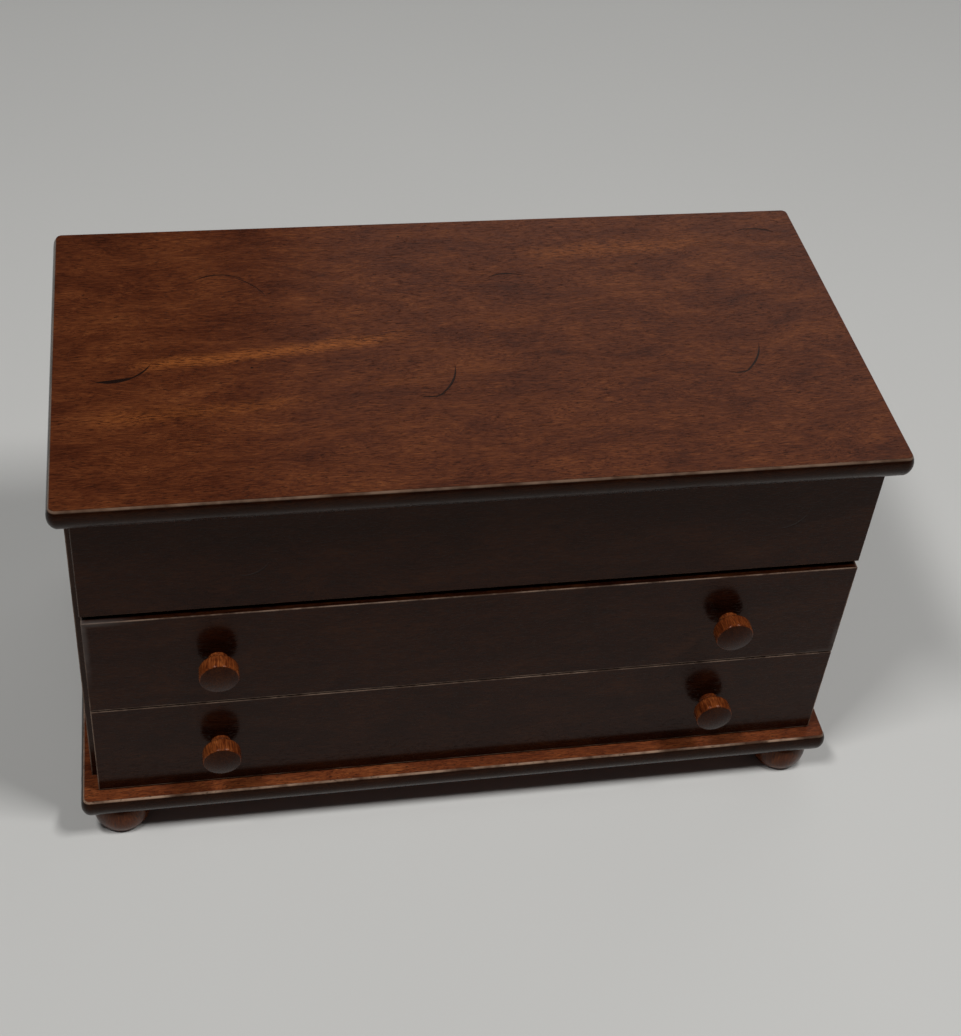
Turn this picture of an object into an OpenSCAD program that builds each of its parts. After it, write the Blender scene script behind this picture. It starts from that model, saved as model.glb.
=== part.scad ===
// Jewelry box with a lift-up lid over a lined compartment and two drawers below it.
// Millimetres. +Z is up and -Y is the front. The origin is on the floor, at the centre of the outer box.

/* [Case] */
// Width over the two side panels
body_w = 333; // [280:1:420]
// Depth from the front edges of the side panels to the back face
body_d = 156.3; // [120:0.1:220]
// Thickness of a side panel
side_t = 10; // [8:0.5:12]
// Thickness of the back panel
back_t = 10; // [9:0.5:14]
// Thickness of the compartment floor and of the dust panel between the drawers
shelf_t = 5; // [4:0.5:8]
// Depth of the grooves that hold the shelves
shelf_groove = 3; // [2:0.5:4]

/* [Lid and base boards] */
// Thickness of the lid board
lid_t = 10; // [9:0.5:14]
// Thickness of the base board
base_t = 10.5; // [10:0.5:16]
// How far both boards stand out past the side panels
side_overhang = 5; // [2:0.5:12]
// How far both boards stand out past the front edges of the side panels
front_overhang = 15.7; // [12:0.1:24]
// How far both boards stand out past the back panel
back_overhang = 6; // [5:0.5:10]
// Radius of the boards' corners seen from above
corner_r = 4; // [3:0.5:5]
// Radius of the rounded edge of both boards
nose_r = 8; // [7.5:0.5:12]

/* [Fronts] */
// Height of the fixed front panel of the top compartment
panel_h = 56.3; // [45:0.1:80]
// Thickness of the fixed front panel
panel_t = 7.2; // [5:0.1:9]
// How far each end of the fixed front panel stays in from the side panels' outer faces
panel_inset = 2.5; // [1:0.5:5]
// Height of the upper drawer's front
upper_front_h = 54; // [45:0.5:75]
// Height of the lower drawer's front
lower_front_h = 52.8; // [45:0.1:75]
// Thickness of a drawer front
front_t = 8.4; // [7:0.1:10]
// How far each end of a drawer front stays in from the side panels' outer faces
front_inset = 3; // [1:0.5:5]
// Gap between the fixed front panel and the upper drawer's front
panel_gap = 2.4; // [1:0.1:3]
// Gap between the two drawer fronts
drawer_gap = 0.9; // [0.5:0.1:2]
// Gap between the lower drawer's front and the base board
base_gap = 0.8; // [0.5:0.1:2]

/* [Drawer boxes] */
// Thickness of the drawer sides and backs
wall_t = 6; // [5:0.5:8]
// Thickness of a drawer bottom
bottom_t = 3; // [2.5:0.5:4]
// Depth of the grooves that hold a drawer bottom
bottom_groove = 3; // [2:0.5:4]
// Height of a drawer bottom above the lower edges of its walls
bottom_rise = 4; // [3:0.5:8]
// Clearance between a drawer box and the case on each side
drawer_side_gap = 0.75; // [0.5:0.05:1.5]
// Clearance above a drawer box
drawer_top_gap = 3; // [2:0.5:5]
// Clearance behind a drawer box
drawer_back_gap = 4; // [2:0.5:8]
// Thickness of the drawer dividers
divider_t = 3; // [2:0.5:5]
// How far the dividers stay below the top of their walls
divider_drop = 8; // [4:1:15]

/* [Knobs and feet] */
// Diameter of a knob's head
knob_d = 16.5; // [12:0.5:22]
// Length of a knob up to the rim of its face
knob_l = 11.2; // [10:0.1:18]
// Height of the dome on a knob's face
knob_dome = 1; // [0.5:0.1:2]
// Diameter of a knob's neck
knob_neck_d = 6.8; // [6:0.2:10]
// Distance between the two knobs of a drawer
knob_spacing = 220; // [160:5:240]
// Largest diameter of a bun foot
foot_d = 26; // [20:0.5:34]
// Height of a bun foot
foot_h = 15.5; // [10:0.5:20]
// Distance from the base board's left and right edges to a foot's centre line
foot_side_inset = 17; // [15:0.5:25]
// Distance from the base board's front and back edges to a foot's centre line
foot_front_inset = 14; // [13:0.5:25]
// Diameter of the tenon that holds a foot in the base board
tenon_d = 8; // [6:0.5:9]
// Length of that tenon
tenon_l = 7; // [5:0.5:7.5]

/* [Hinges] */
// Length of a hinge along its pin
hinge_l = 30; // [24:1:40]
// Distance between the middles of the two hinges
hinge_spacing = 210; // [150:5:240]
// Radius of the hinge barrel
barrel_r = 2.3; // [2.1:0.1:2.4]
// Radius of the hinge pin
pin_r = 1; // [0.8:0.1:1.2]
// Thickness of a hinge leaf
leaf_t = 1.2; // [1:0.1:1.4]
// Reach of a hinge leaf from the pin's centre line
leaf_reach = 10.5; // [9.5:0.5:11]

/* [Lining and mirror] */
// Thickness of the velvet-covered lining boards
lining_t = 1.5; // [1:0.1:2.5]
// Width of the bay that holds the ring rolls
ring_bay_w = 96; // [70:1:120]
// Height of a ring roll
ring_roll_h = 22; // [16:1:28]
// Height of the compartment's dividers above the lining
tray_divider_h = 38; // [25:1:40]
// Distance between the mirror's moulding and the side panels
mirror_side_margin = 22.5; // [10:0.5:50]
// Distance between the mirror's moulding and the compartment's front and back
mirror_end_margin = 12; // [5:0.5:20]
// Thickness of the mirror
mirror_t = 3; // [2:0.5:3]
// Width of the moulding around the mirror
frame_w = 12; // [8:0.5:14]
// Thickness of the moulding around the mirror
frame_t = 6; // [5.5:0.5:8]
// How far the moulding laps over the mirror's edge
frame_lap = 3; // [2:0.5:4]

/* [Fits] */
// Clearance between pieces that slide or lie close to each other
gap = 0.3; // [0.3:0.05:0.5]
// Clearance of a panel in its groove and of a lining board in its place
seat_gap = 0.1; // [0.05:0.05:0.2]
// Radial clearance of a pin, screw or tenon in its hole
bore_gap = 0.05; // [0.03:0.01:0.1]

/* [Hidden] */
$fn = 64;

// The ring bay holds one ring roll for each ring_roll node
ring_rolls = 5;

// Heights, from the floor up
base_z = foot_h;
body_z = base_z + base_t;
lower_front_z = body_z + base_gap;
upper_front_z = lower_front_z + lower_front_h + drawer_gap;
panel_z = upper_front_z + upper_front_h + panel_gap;
body_top = panel_z + panel_h;
body_h = body_top - body_z;
lid_z = body_top + gap;
dust_z = upper_front_z - (drawer_gap + shelf_t) / 2;
floor_z = panel_z - (panel_gap + shelf_t) / 2;
compartment_z = floor_z + shelf_t;

// Depths, from the front to the back
board_w = body_w + 2 * side_overhang;
board_d = front_overhang + body_d + back_overhang;
front_setback = front_overhang - gap - front_t;
knob_reach = max(0, knob_l + knob_dome - front_setback);
board_front_y = -(board_d + knob_reach) / 2 + knob_reach;
board_y = board_front_y + board_d / 2;
edge_y = board_front_y + front_overhang;
back_y = edge_y + body_d;
inner_back_y = back_y - back_t;
front_y = board_front_y + front_setback;

// Inside widths and the drawer boxes
inner_w = body_w - 2 * side_t;
inner_d = inner_back_y - edge_y;
box_w = inner_w - 2 * drawer_side_gap;
box_y = front_y + front_t;
box_d = inner_back_y - drawer_back_gap - box_y;
lower_box_z = body_z + gap;
lower_box_h = dust_z - drawer_top_gap - lower_box_z;
upper_box_z = dust_z + shelf_t + gap;
upper_box_h = floor_z - drawer_top_gap - upper_box_z;
front_w = body_w - 2 * front_inset;

// Lining of the top compartment
liner_z = compartment_z + seat_gap;
tray_z = liner_z + lining_t + seat_gap;
wall_lining_h = body_top - 4 * gap - tray_z;
lined_left = -inner_w / 2 + 2 * seat_gap + lining_t;
lined_right = -lined_left;
lined_front = edge_y + 2 * seat_gap + lining_t;
lined_back = inner_back_y - 2 * seat_gap - lining_t;
lined_d = lined_back - lined_front;
ring_divider_x = lined_left + ring_bay_w;
tray_left = ring_divider_x + divider_t + seat_gap;
tray_w = lined_right - seat_gap - tray_left;
roll_pitch = ring_bay_w / ring_rolls;

// The mirror and its moulding, centred over the compartment
mirror_y = edge_y + inner_d / 2;
moulding_w = inner_w - 2 * mirror_side_margin;
moulding_d = inner_d - 2 * mirror_end_margin;
mirror_w = moulding_w - 2 * (frame_w - frame_lap);
mirror_d = moulding_d - 2 * (frame_w - frame_lap);

// Hinge line, screws and small details
pin_y = back_y + barrel_r + gap;
pin_z = lid_z - barrel_r - gap;
knuckle_l = hinge_l / 3;
leaf_cut = barrel_r + gap;
leaf_screw_y = (leaf_reach + leaf_cut) / 2;
leaf_screw_x = hinge_l / 3;
leaf_screw_r = 1.1;
leaf_screw_head_r = 2.1;
leaf_screw_l = 7;
knob_screw_r = 1.5;
knob_screw_head_r = 3.2;
knob_screw_head_h = 2;
knob_screw_grip = 7.5;
base_screw_r = 1.8;
base_screw_head_r = 3.6;
base_screw_head_h = 2.4;
base_screw_grip = 18;
base_screw_spacing = body_d * 0.6;
nose_offset = 0.3;
cut = 1;
arc_steps = 10;

// The colours of the wood, cloth and metal pieces
dark_wood = [0.30, 0.10, 0.05];
knob_wood = [0.45, 0.17, 0.07];
inner_wood = [0.55, 0.36, 0.20];
velvet = [0.12, 0.10, 0.11];
brass = [0.78, 0.60, 0.28];
steel = [0.65, 0.65, 0.67];
silvered = [0.80, 0.85, 0.88];

// A box given by its lowest corner and its size
module block(corner, size) {
    translate(corner) cube(size);
}

// Section of the rounded edge of a board: the inner side is x = 0
module edge_section(t) {
    intersection() {
        translate([corner_r - nose_r, t / 2 + nose_offset]) circle(r = nose_r);
        square([corner_r, t]);
    }
}

// Flat board with a rounded edge all round, centred on the body, with its underside at z = 0
module moulded_board(t) {
    straight_x = board_w - 2 * corner_r;
    straight_y = board_d - 2 * corner_r;
    block([-straight_x / 2, -straight_y / 2, 0], [straight_x, straight_y, t]);
    for (turn = [0, 180]) rotate([0, 0, turn]) {
        translate([0, straight_y / 2, 0]) rotate([90, 0, 90])
            linear_extrude(straight_x, center = true) edge_section(t);
        translate([straight_x / 2, 0, 0]) rotate([90, 0, 0])
            linear_extrude(straight_y, center = true) edge_section(t);
        translate([straight_x / 2, straight_y / 2, 0])
            rotate_extrude(angle = 90) edge_section(t);
        translate([-straight_x / 2, straight_y / 2, 0]) rotate([0, 0, 90])
            rotate_extrude(angle = 90) edge_section(t);
    }
}

// Places its children at the four feet
module at_feet() {
    for (side = [-1, 1])
        for (end = [-1, 1]) at_foot(side, end) children();
}

module at_foot(side, end) {
    translate([side * (board_w / 2 - foot_side_inset), board_y + end * (board_d / 2 - foot_front_inset), 0])
        children();
}

// Places its children at the screws that hold the side panels to the base board
module at_base_screws() {
    for (side = [-1, 1]) for (end = [-1, 1])
        translate([side * (body_w - side_t) / 2, edge_y + (body_d + end * base_screw_spacing) / 2, base_z])
            children();
}

// Places its children at the two knobs' centre lines, with +Z pointing out of the drawer front
module at_knobs(front_z, front_h) {
    for (side = [-1, 1]) at_knob(side, front_z, front_h) children();
}

module at_knob(side, front_z, front_h) {
    translate([side * knob_spacing / 2, front_y, front_z + front_h / 2]) rotate([90, 0, 0]) children();
}

module base_board() color(dark_wood) difference() {
    translate([0, board_y, base_z]) moulded_board(base_t);
    at_feet() translate([0, 0, base_z - cut]) cylinder(r = tenon_d / 2 + bore_gap, h = tenon_l + gap + cut);
    at_base_screws() {
        translate([0, 0, -cut]) cylinder(r = base_screw_r + bore_gap, h = base_t + 2 * cut);
        translate([0, 0, -cut]) cylinder(r = base_screw_head_r + gap, h = base_screw_head_h + gap + cut);
    }
}

// Bun foot with a round tenon on top
module bun_foot() {
    low_r = foot_d * 0.36;
    top_r = foot_d * 0.40;
    mid_r = foot_d / 2;
    profile = concat(
        [[0, 0]],
        [for (i = [0:arc_steps]) let (a = 90 * i / arc_steps)
            [low_r + (mid_r - low_r) * sin(a), foot_h / 2 * (1 - cos(a))]],
        [for (i = [1:arc_steps]) let (a = 90 * i / arc_steps)
            [top_r + (mid_r - top_r) * cos(a), foot_h / 2 * (1 + sin(a))]],
        [[0, foot_h]]);
    color(knob_wood) {
        rotate_extrude() polygon(profile);
        cylinder(r = tenon_d / 2, h = foot_h + tenon_l);
    }
}

module front_left_foot() at_foot(-1, -1) bun_foot();
module front_right_foot() at_foot(1, -1) bun_foot();
module back_left_foot() at_foot(-1, 1) bun_foot();
module back_right_foot() at_foot(1, 1) bun_foot();

module base_screws() color(steel) at_base_screws() {
    translate([0, 0, gap]) cylinder(r = base_screw_head_r, h = base_screw_head_h);
    translate([0, 0, gap]) cylinder(r = base_screw_r, h = base_t - gap + base_screw_grip);
}

// Side panel, with grooves on its inner face for the two shelves
module side_panel(side) color(dark_wood) difference() {
    block([side > 0 ? body_w / 2 - side_t : -body_w / 2, edge_y, body_z], [side_t, body_d, body_h]);
    for (z = [dust_z, floor_z])
        block([side > 0 ? inner_w / 2 - cut : -inner_w / 2 - shelf_groove, edge_y - cut, z - seat_gap],
              [shelf_groove + cut, inner_d + shelf_groove + cut, shelf_t + 2 * seat_gap]);
    at_base_screws() cylinder(r = base_screw_r + bore_gap, h = base_t + base_screw_grip + gap);
}

module left_side_panel() side_panel(-1);
module right_side_panel() side_panel(1);

module back_panel() color(dark_wood) difference() {
    block([-inner_w / 2, inner_back_y, body_z], [inner_w, back_t, body_h]);
    for (z = [dust_z, floor_z])
        block([-inner_w / 2 - cut, inner_back_y - cut, z - seat_gap],
              [inner_w + 2 * cut, shelf_groove + cut, shelf_t + 2 * seat_gap]);
    for (side = [-1, 1]) at_hinge(side) {
        block([-hinge_l / 2 - gap, -leaf_reach - gap, -leaf_t / 2], [hinge_l + 2 * gap, leaf_reach, lid_t]);
        at_leaf_screws() translate([0, 0, -leaf_t / 2 - leaf_screw_l - gap])
            cylinder(r = leaf_screw_r + bore_gap, h = leaf_screw_l + leaf_t);
    }
}

module upper_front_panel() color(dark_wood)
    block([-body_w / 2 + panel_inset, edge_y - panel_t, panel_z],
          [body_w - 2 * panel_inset, panel_t, panel_h]);

// Shelf housed in the grooves of the side and back panels
module shelf(z) {
    reach = shelf_groove - seat_gap;
    block([-inner_w / 2 - reach, edge_y, z], [inner_w + 2 * reach, inner_d + reach, shelf_t]);
}

module compartment_floor() color(inner_wood) shelf(floor_z);
module dust_panel() color(inner_wood) shelf(dust_z);

module compartment_liner() color(velvet)
    block([-inner_w / 2 + seat_gap, edge_y + seat_gap, liner_z],
          [inner_w - 2 * seat_gap, inner_d - 2 * seat_gap, lining_t]);

// Four lining boards standing around the compartment's walls
module compartment_wall_lining() color(velvet) {
    long = inner_w - 2 * seat_gap;
    short = lined_d - 2 * seat_gap;
    for (y = [edge_y + seat_gap, lined_back + seat_gap])
        block([-long / 2, y, tray_z], [long, lining_t, wall_lining_h]);
    for (x = [lined_left - seat_gap - lining_t, lined_right + seat_gap])
        block([x, lined_front + seat_gap, tray_z], [lining_t, short, wall_lining_h]);
}

module ring_bay_divider() color(velvet)
    block([ring_divider_x, lined_front + seat_gap, tray_z],
          [divider_t, lined_d - 2 * seat_gap, tray_divider_h]);

module compartment_long_divider() color(velvet)
    block([tray_left, lined_front + (lined_d - divider_t) / 2, tray_z], [tray_w, divider_t, tray_divider_h]);

module compartment_cross_divider() color(velvet)
    block([tray_left + (tray_w - divider_t) / 2, lined_front + seat_gap, tray_z],
          [divider_t, (lined_d - divider_t) / 2 - 2 * seat_gap, tray_divider_h]);

// Padded roll for rings: a bar with a half-round top that lies from front to back
module ring_roll(number) {
    roll_w = roll_pitch - gap;
    roll_d = lined_d - 2 * gap;
    roll_x = lined_left + roll_pitch * (number - 0.5);
    color(velvet) translate([roll_x, lined_front + lined_d / 2, tray_z + gap]) {
        block([-roll_w / 2, -roll_d / 2, 0], [roll_w, roll_d, ring_roll_h - roll_w / 2]);
        translate([0, 0, ring_roll_h - roll_w / 2]) rotate([90, 0, 0])
            cylinder(r = roll_w / 2, h = roll_d, center = true);
    }
}

module ring_roll_1() ring_roll(1);
module ring_roll_2() ring_roll(2);
module ring_roll_3() ring_roll(3);
module ring_roll_4() ring_roll(4);
module ring_roll_5() ring_roll(5);

// Places its children on the pin's centre line, at the middle of a hinge
module at_hinge(side) {
    translate([side * hinge_spacing / 2, pin_y, pin_z]) children();
}

// Places its children at the two screws of a leaf
module at_leaf_screws() {
    for (end = [-1, 1]) translate([end * leaf_screw_x, -leaf_screw_y, 0]) children();
}

// One barrel knuckle between two places along the pin
module knuckle(from, to) {
    translate([from, 0, 0]) rotate([0, 90, 0]) cylinder(r = barrel_r, h = to - from);
}

module pin_bore() {
    rotate([0, 90, 0]) cylinder(r = pin_r + bore_gap, h = hinge_l + 2 * cut, center = true);
}

// Screw hole through a leaf, opening upwards into a countersink
module leaf_screw_hole() {
    translate([0, 0, -leaf_t]) cylinder(r = leaf_screw_r + bore_gap, h = 2 * leaf_t);
    translate([0, 0, -leaf_t / 2])
        cylinder(r1 = leaf_screw_r + bore_gap, r2 = leaf_screw_head_r + bore_gap, h = leaf_t + bore_gap);
}

// Leaf screwed into the back panel's top edge, with the two outer knuckles
module case_leaf(side) color(brass) at_hinge(side) difference() {
    union() {
        block([-hinge_l / 2, -leaf_reach, -leaf_t / 2], [hinge_l, leaf_reach - leaf_cut, leaf_t]);
        for (end = [-1, 1]) {
            outer = end * hinge_l / 2;
            inner = end * (knuckle_l / 2 + gap / 2);
            knuckle(min(outer, inner), max(outer, inner));
            block([min(outer, inner), -leaf_cut, -leaf_t / 2], [abs(outer - inner), leaf_cut, leaf_t]);
        }
    }
    pin_bore();
    at_leaf_screws() leaf_screw_hole();
}

// Leaf screwed to the lid's underside, with the middle knuckle
module lid_leaf(side) {
    leaf_top = barrel_r + gap;
    middle_l = knuckle_l - gap;
    color(brass) at_hinge(side) difference() {
        union() {
            block([-hinge_l / 2, -leaf_reach, leaf_top - leaf_t], [hinge_l, leaf_reach - leaf_cut, leaf_t]);
            block([-middle_l / 2, -leaf_cut, leaf_top - leaf_t], [middle_l, leaf_cut, leaf_t]);
            knuckle(-middle_l / 2, middle_l / 2);
        }
        pin_bore();
        at_leaf_screws() translate([0, 0, leaf_top - leaf_t / 2]) mirror([0, 0, 1]) leaf_screw_hole();
    }
}

module left_hinge_case_leaf() case_leaf(-1);
module right_hinge_case_leaf() case_leaf(1);
module left_hinge_lid_leaf() lid_leaf(-1);
module right_hinge_lid_leaf() lid_leaf(1);

module hinge_pin(side) color(steel) at_hinge(side)
    rotate([0, 90, 0]) cylinder(r = pin_r, h = hinge_l + 2 * gap, center = true);

module left_hinge_pin() hinge_pin(-1);
module right_hinge_pin() hinge_pin(1);

// Countersunk wood screw that points down, with the top of its head level with the top of the leaf
module leaf_screw() {
    translate([0, 0, -leaf_t / 2]) cylinder(r1 = leaf_screw_r, r2 = leaf_screw_head_r, h = leaf_t);
    translate([0, 0, -leaf_t / 2 - leaf_screw_l]) cylinder(r = leaf_screw_r, h = leaf_screw_l + leaf_t / 2);
}

module hinge_case_screws() color(brass)
    for (side = [-1, 1]) at_hinge(side) at_leaf_screws() leaf_screw();

module hinge_lid_screws() color(brass)
    for (side = [-1, 1]) at_hinge(side) at_leaf_screws()
        translate([0, 0, barrel_r + gap - leaf_t / 2]) mirror([0, 0, 1]) leaf_screw();

module lid_board() color(dark_wood) difference() {
    translate([0, board_y, lid_z]) moulded_board(lid_t);
    for (side = [-1, 1]) at_hinge(side) at_leaf_screws() translate([0, 0, lid_z - pin_z - cut])
        cylinder(r = leaf_screw_r + bore_gap, h = leaf_screw_l + gap + cut);
}

module lid_mirror() color(silvered)
    block([-mirror_w / 2, mirror_y - mirror_d / 2, lid_z - mirror_t], [mirror_w, mirror_d, mirror_t]);

// One length of moulding along +X with mitred ends, rebated for the mirror; its outer side is at y = 0
module moulding(length) {
    half = length / 2;
    rebate = frame_lap + seat_gap;
    rebate_h = mirror_t + seat_gap;
    difference() {
        translate([0, 0, -frame_t]) linear_extrude(frame_t)
            polygon([[-half, 0], [half, 0], [half - frame_w, frame_w], [frame_w - half, frame_w]]);
        block([-half, frame_w - rebate, -rebate_h], [length, rebate + cut, rebate_h + cut]);
    }
}

// Four mitred mouldings around the mirror, glued to the lid
module mirror_frame() {
    color(dark_wood) translate([0, mirror_y, lid_z])
        for (turn = [0:3]) {
            along = turn % 2 == 0 ? moulding_w : moulding_d;
            across = turn % 2 == 0 ? moulding_d : moulding_w;
            rotate([0, 0, 90 * turn]) translate([0, -across / 2, 0]) moulding(along);
        }
}

// Drawer front, with a groove for the bottom and a hole for each knob's screw
module drawer_front(front_z, front_h, box_z) color(dark_wood) difference() {
    block([-front_w / 2, front_y, front_z], [front_w, front_t, front_h]);
    bottom_slot(box_z);
    at_knobs(front_z, front_h) translate([0, 0, -front_t - cut])
        cylinder(r = knob_screw_r + bore_gap, h = front_t + 2 * cut);
}

// The space of a drawer's bottom with its clearance
module bottom_slot(box_z) {
    bottom_panel(box_z, seat_gap);
}

// A drawer's bottom, or with a margin the slot that holds it
module bottom_panel(box_z, margin) {
    inner_box_w = box_w - 2 * wall_t;
    reach = bottom_groove - seat_gap + margin;
    block([-inner_box_w / 2 - reach, box_y - reach, box_z + bottom_rise - margin],
          [inner_box_w + 2 * reach, box_d - wall_t + 2 * reach, bottom_t + 2 * margin]);
}

module drawer_side(side, box_z, box_h) color(inner_wood) difference() {
    block([side > 0 ? box_w / 2 - wall_t : -box_w / 2, box_y, box_z], [wall_t, box_d, box_h]);
    bottom_slot(box_z);
}

module drawer_back(box_z, box_h) color(inner_wood) difference() {
    block([-box_w / 2 + wall_t, box_y + box_d - wall_t, box_z], [box_w - 2 * wall_t, wall_t, box_h]);
    bottom_slot(box_z);
}

module drawer_bottom(box_z) color(inner_wood) bottom_panel(box_z, 0);

module drawer_liner(box_z) color(velvet)
    block([-box_w / 2 + wall_t + seat_gap, box_y + seat_gap, box_z + bottom_rise + bottom_t + seat_gap],
          [box_w - 2 * (wall_t + seat_gap), box_d - wall_t - 2 * seat_gap, lining_t]);

// Divider that runs from the front to the back of a drawer, centred at x
module drawer_divider(x, box_z, box_h) {
    low = box_z + bottom_rise + bottom_t + lining_t + 2 * seat_gap;
    color(inner_wood) block([x - divider_t / 2, box_y + seat_gap, low],
                            [divider_t, box_d - wall_t - 2 * seat_gap, box_z + box_h - divider_drop - low]);
}

// Turned knob: a neck, a quarter-round shoulder, a straight rim and a slightly domed face
module knob() {
    head_r = knob_d / 2;
    neck_r = knob_neck_d / 2;
    foot_r = neck_r + 0.8;
    neck_end = knob_l * 0.27;
    shoulder_end = knob_l * 0.55;
    rim_round = 0.75;
    rim_start = knob_l - 1.3;
    face_r = head_r - rim_round;
    profile = concat(
        [[0, 0], [foot_r, 0], [foot_r, 0.6], [neck_r, 1.6]],
        [for (i = [0:arc_steps]) let (a = 90 * i / arc_steps)
            [neck_r + (head_r - neck_r) * sin(a), shoulder_end - (shoulder_end - neck_end) * cos(a)]],
        [for (i = [0:arc_steps]) let (a = 90 * i / arc_steps)
            [face_r + rim_round * cos(a), rim_start + (knob_l - rim_start) * sin(a)]],
        [for (i = [1:arc_steps]) let (k = i / arc_steps)
            [face_r * (1 - k), knob_l + knob_dome * (1 - (1 - k) * (1 - k))]]);
    color(knob_wood) difference() {
        rotate_extrude() polygon(profile);
        translate([0, 0, -cut]) cylinder(r = knob_screw_r + bore_gap, h = knob_screw_grip + gap + cut);
    }
}

// Pan-head screw put in from inside the drawer
module knob_screw() {
    translate([0, 0, -front_t - knob_screw_head_h]) cylinder(r = knob_screw_head_r, h = knob_screw_head_h);
    translate([0, 0, -front_t - knob_screw_head_h])
        cylinder(r = knob_screw_r, h = knob_screw_head_h + front_t + knob_screw_grip);
}

module upper_drawer_front() drawer_front(upper_front_z, upper_front_h, upper_box_z);
module upper_drawer_left_side() drawer_side(-1, upper_box_z, upper_box_h);
module upper_drawer_right_side() drawer_side(1, upper_box_z, upper_box_h);
module upper_drawer_back() drawer_back(upper_box_z, upper_box_h);
module upper_drawer_bottom() drawer_bottom(upper_box_z);
module upper_drawer_liner() drawer_liner(upper_box_z);
module upper_drawer_left_divider() drawer_divider(-box_w / 6, upper_box_z, upper_box_h);
module upper_drawer_right_divider() drawer_divider(box_w / 6, upper_box_z, upper_box_h);
module upper_left_knob() at_knob(-1, upper_front_z, upper_front_h) knob();
module upper_right_knob() at_knob(1, upper_front_z, upper_front_h) knob();
module upper_knob_screws() color(steel) at_knobs(upper_front_z, upper_front_h) knob_screw();

module lower_drawer_front() drawer_front(lower_front_z, lower_front_h, lower_box_z);
module lower_drawer_left_side() drawer_side(-1, lower_box_z, lower_box_h);
module lower_drawer_right_side() drawer_side(1, lower_box_z, lower_box_h);
module lower_drawer_back() drawer_back(lower_box_z, lower_box_h);
module lower_drawer_bottom() drawer_bottom(lower_box_z);
module lower_drawer_liner() drawer_liner(lower_box_z);
module lower_drawer_divider() drawer_divider(0, lower_box_z, lower_box_h);
module lower_left_knob() at_knob(-1, lower_front_z, lower_front_h) knob();
module lower_right_knob() at_knob(1, lower_front_z, lower_front_h) knob();
module lower_knob_screws() color(steel) at_knobs(lower_front_z, lower_front_h) knob_screw();

base_board();
left_side_panel();
right_side_panel();
back_panel();
upper_front_panel();
compartment_floor();
dust_panel();
front_left_foot();
front_right_foot();
back_left_foot();
back_right_foot();
base_screws();
compartment_liner();
compartment_wall_lining();
ring_bay_divider();
compartment_long_divider();
compartment_cross_divider();
ring_roll_1();
ring_roll_2();
ring_roll_3();
ring_roll_4();
ring_roll_5();
left_hinge_case_leaf();
right_hinge_case_leaf();
left_hinge_pin();
right_hinge_pin();
hinge_case_screws();
lid_board();
lid_mirror();
mirror_frame();
left_hinge_lid_leaf();
right_hinge_lid_leaf();
hinge_lid_screws();
upper_drawer_front();
upper_drawer_left_side();
upper_drawer_right_side();
upper_drawer_back();
upper_drawer_bottom();
upper_drawer_liner();
upper_drawer_left_divider();
upper_drawer_right_divider();
upper_left_knob();
upper_right_knob();
upper_knob_screws();
lower_drawer_front();
lower_drawer_left_side();
lower_drawer_right_side();
lower_drawer_back();
lower_drawer_bottom();
lower_drawer_liner();
lower_drawer_divider();
lower_left_knob();
lower_right_knob();
lower_knob_screws();
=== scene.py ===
import math

import bmesh
import bpy
from mathutils import Matrix, Vector


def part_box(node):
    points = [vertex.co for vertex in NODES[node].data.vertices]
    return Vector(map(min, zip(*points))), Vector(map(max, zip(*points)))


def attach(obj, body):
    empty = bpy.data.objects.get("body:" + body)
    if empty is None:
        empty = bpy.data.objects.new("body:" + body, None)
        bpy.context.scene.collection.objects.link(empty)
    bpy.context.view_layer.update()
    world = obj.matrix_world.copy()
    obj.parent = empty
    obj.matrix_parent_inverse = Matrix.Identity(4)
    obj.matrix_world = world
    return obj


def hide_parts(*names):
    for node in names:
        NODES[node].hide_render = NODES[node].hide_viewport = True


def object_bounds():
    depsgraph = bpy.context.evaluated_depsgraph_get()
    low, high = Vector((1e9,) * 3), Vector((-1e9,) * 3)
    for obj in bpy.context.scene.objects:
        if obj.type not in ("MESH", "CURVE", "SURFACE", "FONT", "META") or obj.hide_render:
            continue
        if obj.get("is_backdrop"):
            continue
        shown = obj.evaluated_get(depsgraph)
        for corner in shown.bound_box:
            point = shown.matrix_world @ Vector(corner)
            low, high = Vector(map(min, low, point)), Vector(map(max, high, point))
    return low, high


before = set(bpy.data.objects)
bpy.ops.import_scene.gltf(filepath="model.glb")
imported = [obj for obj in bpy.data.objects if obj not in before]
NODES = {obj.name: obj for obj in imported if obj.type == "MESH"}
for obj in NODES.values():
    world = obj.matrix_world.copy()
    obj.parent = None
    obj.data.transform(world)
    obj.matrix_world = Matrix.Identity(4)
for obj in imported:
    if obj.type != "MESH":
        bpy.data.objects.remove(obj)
CAD_LO, CAD_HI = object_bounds()
MM = 0.001
SCENE = bpy.context.scene


# ---------------------------------------------------------------- camera
TOP = CAD_HI.z
FRAME_H = 1036.0
FOCAL_PX = 1716.6
SENSOR = 36.0
VERTICAL_SHIFT = -0.12
CAM_ELEVATION = 40.33
CAM_AZIMUTH = 13.29
CAM_ROLL = 5.68
CAM_SIDE, CAM_BACK, CAM_ABOVE_LID = -0.12197, -0.55235, 0.45416

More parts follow.
